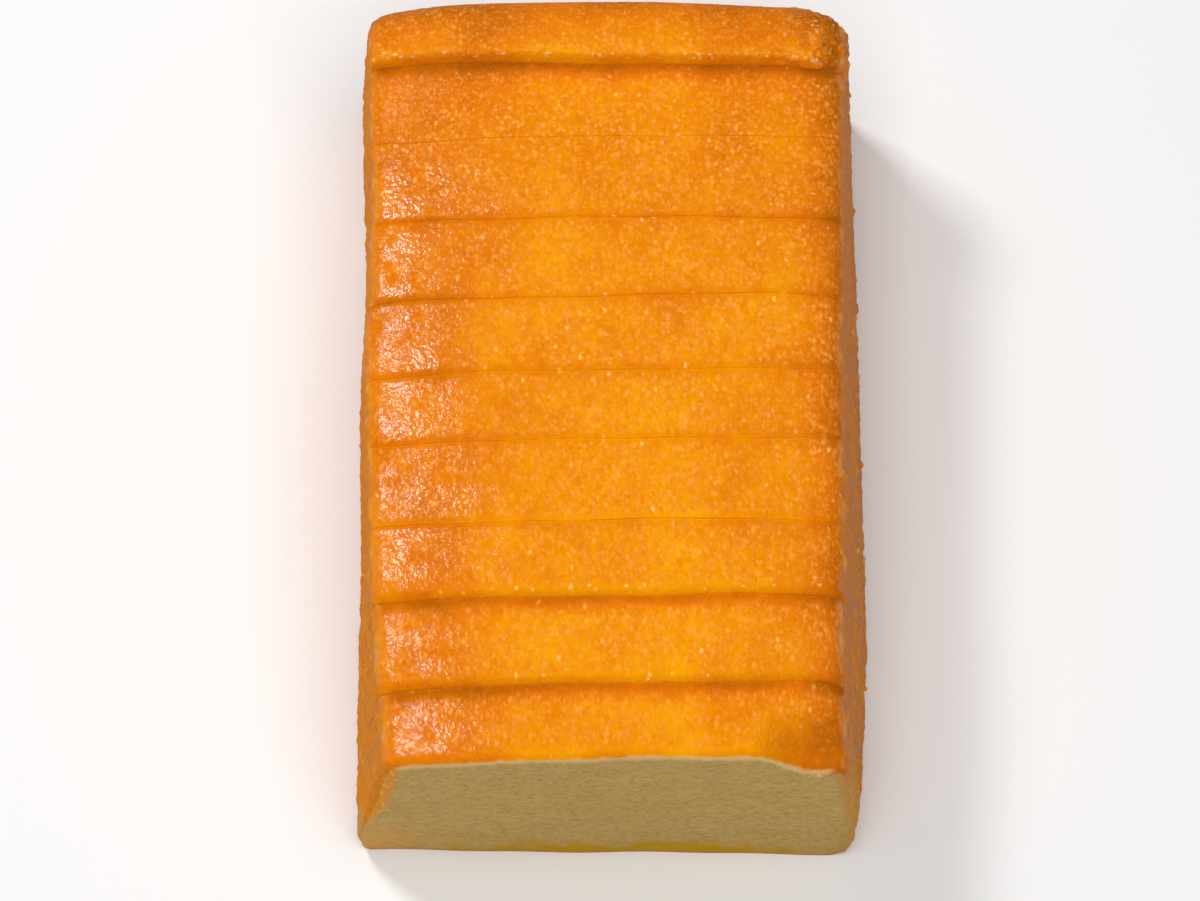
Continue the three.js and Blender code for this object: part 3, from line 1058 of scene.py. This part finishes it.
def crumbMaterial(name, soaked):
    material, tree, shader = newMaterial(name)
    place, drawnUp = placeOn(tree, (0.5, 1, 1)), placeOn(tree, (1, 1, 0.35))
    crumb = crumbTexture(tree, place)
    ragged = rangeNode(tree, noiseNode(tree, 2.2, 4, 0.65, drawnUp), 0.3, 0.7, (-0.6, 0.6))
    depth = sumNode(tree, valueOf(tree, "depthIn"), ragged)
    if soaked:
        skin = mixNode(tree, rangeNode(tree, depth, 0.6, 2.6), "soaked", crumb)
    else:
        skin = frontCutSkin(tree, crumb, depth, drawnUp)
    setInputs(tree, shader, {
        "Base Color": skin,
        "Roughness": 0.6 if soaked else 0.8,
        "Specular IOR Level": 0.12,
        "Normal": bumpNode(tree, noiseNode(tree, 0.6, 3, 0.65, place), 0.2, 0.5),
    })
    return material


def looseMaterial():
    material, tree, shader = newMaterial("looseCrumb")
    drift = rangeNode(tree, noiseNode(tree, 0.6, 2, 0.6), 0.3, 0.7, (-0.2, 0.2))
    stops = [(0.1, "looseCrumb"), (0.38, "looseGolden"), (0.66, "looseYellow"), (0.94, "looseOrange")]
    setInputs(tree, shader, {
        "Base Color": rampNode(tree, sumNode(tree, valueOf(tree, "tone"), drift), stops),
        "Roughness": 0.65,
        "Specular IOR Level": 0.12,
        "Normal": bumpNode(tree, noiseNode(tree, 0.3, 2, 0.6), 0.08, 0.7),
    })
    return material


# Crumbs that cling to the loaf: how many, how large across in mm, how pale (0) or orange (1), and which
# places they cling to: slices from and to, distance behind the cut, place across, height
clinging = {
    "leftWallCrumbs": {"count": 50, "size": (0.5, 1.8), "tone": (0.5, 1.0), "slices": (0, 9),
                       "behind": (0, 30), "across": (-60, -50.5), "high": (4, 45)},
    "rightWallCrumbs": {"count": 120, "size": (0.5, 2.4), "tone": (0.5, 1.0), "slices": (0, 9),
                        "behind": (0, 30), "across": (48, 60), "high": (4, 40)},
    "tornCornerCrumbs": {"count": 14, "size": (0.5, 1.5), "tone": (0.0, 0.2), "slices": (0, 0),
                         "behind": (0.0, 0.4), "across": (31, 47), "high": (55, 60.5), "onCut": True},
    "heelCornerCrumbs": {"count": 40, "size": (0.4, 1.0), "tone": (0.2, 1.0), "slices": (9, 9),
                         "behind": (4, 19), "across": (43, 58), "high": (40, 66)},
}
crumbShape = {
    "small": 2.2,  # the higher, the more of them are small
    "lumpy": 0.22,
    "pressed": 0.45,  # flattened against the crust
}


def roundedLump():
    # a ball of 42 points and 80 faces
    made = bmesh.new()
    bmesh.ops.create_icosphere(made, subdivisions=2, radius=1.0)
    points = np.array([v.co[:] for v in made.verts])
    faces = np.array([[v.index for v in f.verts] for f in made.faces])
    made.free()
    return points, faces


def clingingPlaces(wanted, built):
    # the points of the slices that the crumbs may sit on, and which way is outwards there
    places, outward = [], []
    for k in range(wanted["slices"][0], wanted["slices"][1] + 1):
        points, normals, flat, onSkin = built[k]
        x, behind, z = flat.T
        inside = onSkin | wanted.get("onCut", False)
        inside &= (behind >= wanted["behind"][0]) & (behind <= wanted["behind"][1])
        inside &= (x > wanted["across"][0]) & (x < wanted["across"][1])
        inside &= (z > wanted["high"][0]) & (z < wanted["high"][1])
        places.append(points[inside])
        outward.append(normals[inside])
    return np.concatenate(places), np.concatenate(outward)


def makeCrumbs(name, seed, built, material):
    wanted, look = clinging[name], crumbShape
    random = np.random.default_rng(seed)
    places, outward = clingingPlaces(wanted, built)
    drift = np.exp(2.5 * layeredNoise(places, 9.0, seed))
    chosen = random.choice(len(places), wanted["count"], replace=False, p=drift / drift.sum())
    lump, lumpFaces = roundedLump()
    shapes, faces, tones = [], [], []
    for number, at in enumerate(chosen):
        size = mix(*wanted["size"], random.random() ** look["small"])
        turn = np.linalg.qr(random.normal(size=(3, 3)))[0]
        turn *= np.sign(np.linalg.det(turn))
        shape = lump * (1 + look["lumpy"] * random.normal(size=(len(lump), 1)).clip(-1.5, 1.5))
        shape = (shape * random.uniform(0.6, 1.15, 3)) @ turn * size / 2
        shape -= look["pressed"] * (shape @ outward[at])[:, None] * outward[at]
        shapes.append(shape + places[at] + outward[at] * size * 0.02)
        faces.append(lumpFaces + number * len(lump))
        tones.append(np.full(len(lump), random.uniform(*wanted["tone"])))
    points, faces = np.concatenate(shapes), np.concatenate(faces)
    points[:, 2] = np.maximum(points[:, 2], 0.05)
    faces = np.concatenate([faces, faces[:, 2:]], 1)
    values = {"tone": np.concatenate(tones)}
    crumbs = makeMesh(name, points, faces, values, np.zeros(len(faces)), (material,))
    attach(crumbs, "root")


# Camera, lights and floor
view = {"elevation": 67.5, "azimuth": 0.2, "target": (-2.6, -7.06, 30.0), "away": 2000.0, "lens": 274.2}
lights = {
    "key": {"from": (-0.41, 0.38, 0.83), "away": 1.3, "size": (0.26, 0.30), "power": 6.8, "gloss": True},
    "fill": {"from": (0.06, -0.30, 0.95), "away": 1.5, "size": (1.0, 1.0), "power": 14.0, "gloss": False},
}
surroundings = {"sky": 0.17, "floorReach": 3.0, "floorLevel": -0.0002}


def makeCamera():
    data = bpy.data.cameras.new("camera")
    data.sensor_width, data.lens = 36, view["lens"]
    data.clip_start, data.clip_end = 0.1, 50
    camera = addToScene("camera", data)
    e, a = math.radians(view["elevation"]), math.radians(view["azimuth"])
    back = Vector((-math.cos(e) * math.sin(a), -math.cos(e) * math.cos(a), math.sin(e)))
    camera.location = (Vector(view["target"]) + view["away"] * back) * mm
    camera.rotation_euler = back.to_track_quat("Z", "Y").to_euler()
    bpy.context.scene.camera = camera


def makeLights():
    for name, light in lights.items():
        data = bpy.data.lights.new(name, "AREA")
        data.shape = "RECTANGLE"
        data.size, data.size_y = light["size"]
        data.energy = light["power"]
        lamp = addToScene(name, data)
        lamp.visible_glossy = light["gloss"]
        toward = Vector(light["from"]).normalized()
        lamp.location = toward * light["away"]
        lamp.rotation_euler = toward.to_track_quat("Z", "Y").to_euler()
    world = bpy.data.worlds.new("studio")
    bpy.context.scene.world = world
    world.use_nodes = True
    sky = {"Color": "white", "Strength": surroundings["sky"]}
    setInputs(world.node_tree, world.node_tree.nodes["Background"], sky)
    bpy.context.scene.view_settings.view_transform = "Standard"


def makeFloor():
    mesh = bpy.data.meshes.new("floor")
    r = surroundings["floorReach"]
    mesh.from_pydata([(-r, -r, 0), (r, -r, 0), (r, r, 0), (-r, r, 0)], [], [(0, 1, 2, 3)])
    floor = addToScene("floor", mesh)
    material, tree, shader = newMaterial("paleFloor")
    setInputs(tree, shader, {"Base Color": "paleFloor", "Roughness": 0.9, "Specular IOR Level": 0.0})
    mesh.materials.append(material)
    floor.location.z = surroundings["floorLevel"]


def offsetToModel(starts):
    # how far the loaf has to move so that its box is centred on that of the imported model
    low, high = [], []
    for k, start in enumerate(starts):
        flat, _, _, length = sliceShell(k)
        points = placed(k, flat, start, length)
        low.append(points.min(0))
        high.append(points.max(0))
    low, high = np.min(low, 0), np.max(high, 0)
    cadLow, cadHigh = (np.array(corner) / mm for corner in cadBox)
    print("loaf of", np.round(high - low, 2), "mm, packed as", np.round(cadHigh - cadLow, 2))
    return np.append(((cadLow + cadHigh) / 2 - (low + high) / 2)[:2], cadLow[2] - low[2])


# Putting it together
makeCamera()
makeLights()
makeFloor()
crust = crustMaterial()
frontCrumb = crumbMaterial("frontCrumb", False)
innerCrumb = crumbMaterial("innerCrumb", True)
print("camera, lights, floor and materials are in place")

starts = np.concatenate([[0], np.cumsum([piece["thick"] for piece in slices])])[:-1]
offset = offsetToModel(starts)
built = []
for k, start in enumerate(starts):
    built.append(buildSlice(k, start, offset, (crust, innerCrumb if k else frontCrumb)))
print("slices made:", len(built))
loose = looseMaterial()
for number, name in enumerate(clinging):
    makeCrumbs(name, 101 + number, built, loose)
print("kinds of crumb made:", len(clinging))
